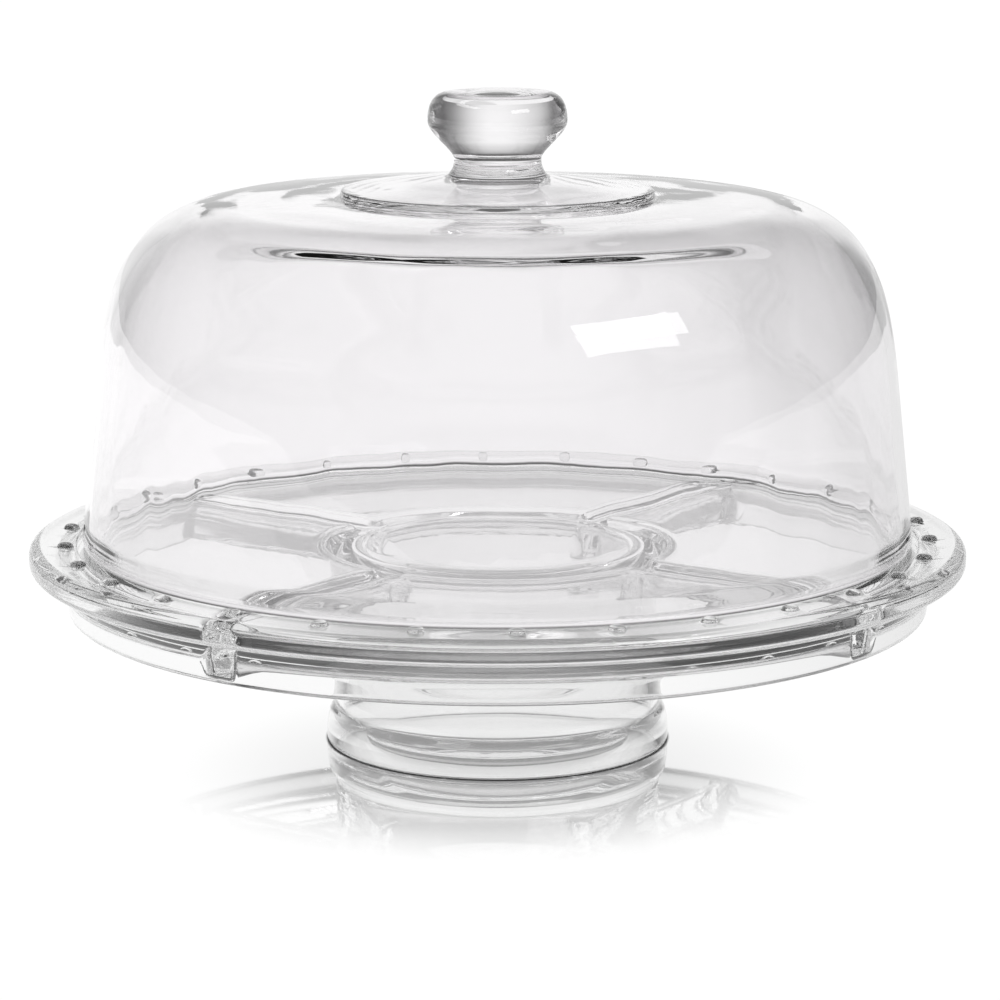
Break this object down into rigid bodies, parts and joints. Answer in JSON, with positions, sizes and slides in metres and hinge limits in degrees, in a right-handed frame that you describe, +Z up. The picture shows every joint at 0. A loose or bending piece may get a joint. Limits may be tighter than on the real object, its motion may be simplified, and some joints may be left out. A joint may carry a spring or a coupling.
{
  "type": "cake stand with dome",
  "caption": "Clear pressed-glass footed cake plate with a beaded rim, a lift-off dome with a mushroom knob, and tray compartments and a bowl foot underneath.",
  "frame": {"origin": "on the table, on the stand's axis, under the centre of the foot", "axes": "+Z up along the stand's axis; the four tray compartments face +X, -X, +Y and -Y, and the four dividers lie between them"},
  "size_m": [0.33, 0.33, 0.231],
  "materials": {
    "stand_glass": "clear pressed glass, fire polished",
    "dome_glass": "clear pressed glass, fire polished"
  },
  "bodies": {
    "stand": {"cake_plate": "stand_glass", "beaded_rim": "stand_glass", "tray_wall": "stand_glass", "foot_bowl": "stand_glass", "tray_divider_1": "stand_glass", "tray_divider_2": "stand_glass", "tray_divider_3": "stand_glass", "tray_divider_4": "stand_glass"},
    "dome": {"dome_shell": "dome_glass", "dome_knob": "dome_glass"}
  },
  "joints": [
    {"name": "dome_lift", "type": "slide", "parent": "stand", "child": "dome", "axis": [0, 0, 1], "range_m": [0, 0.16]}
  ]
}
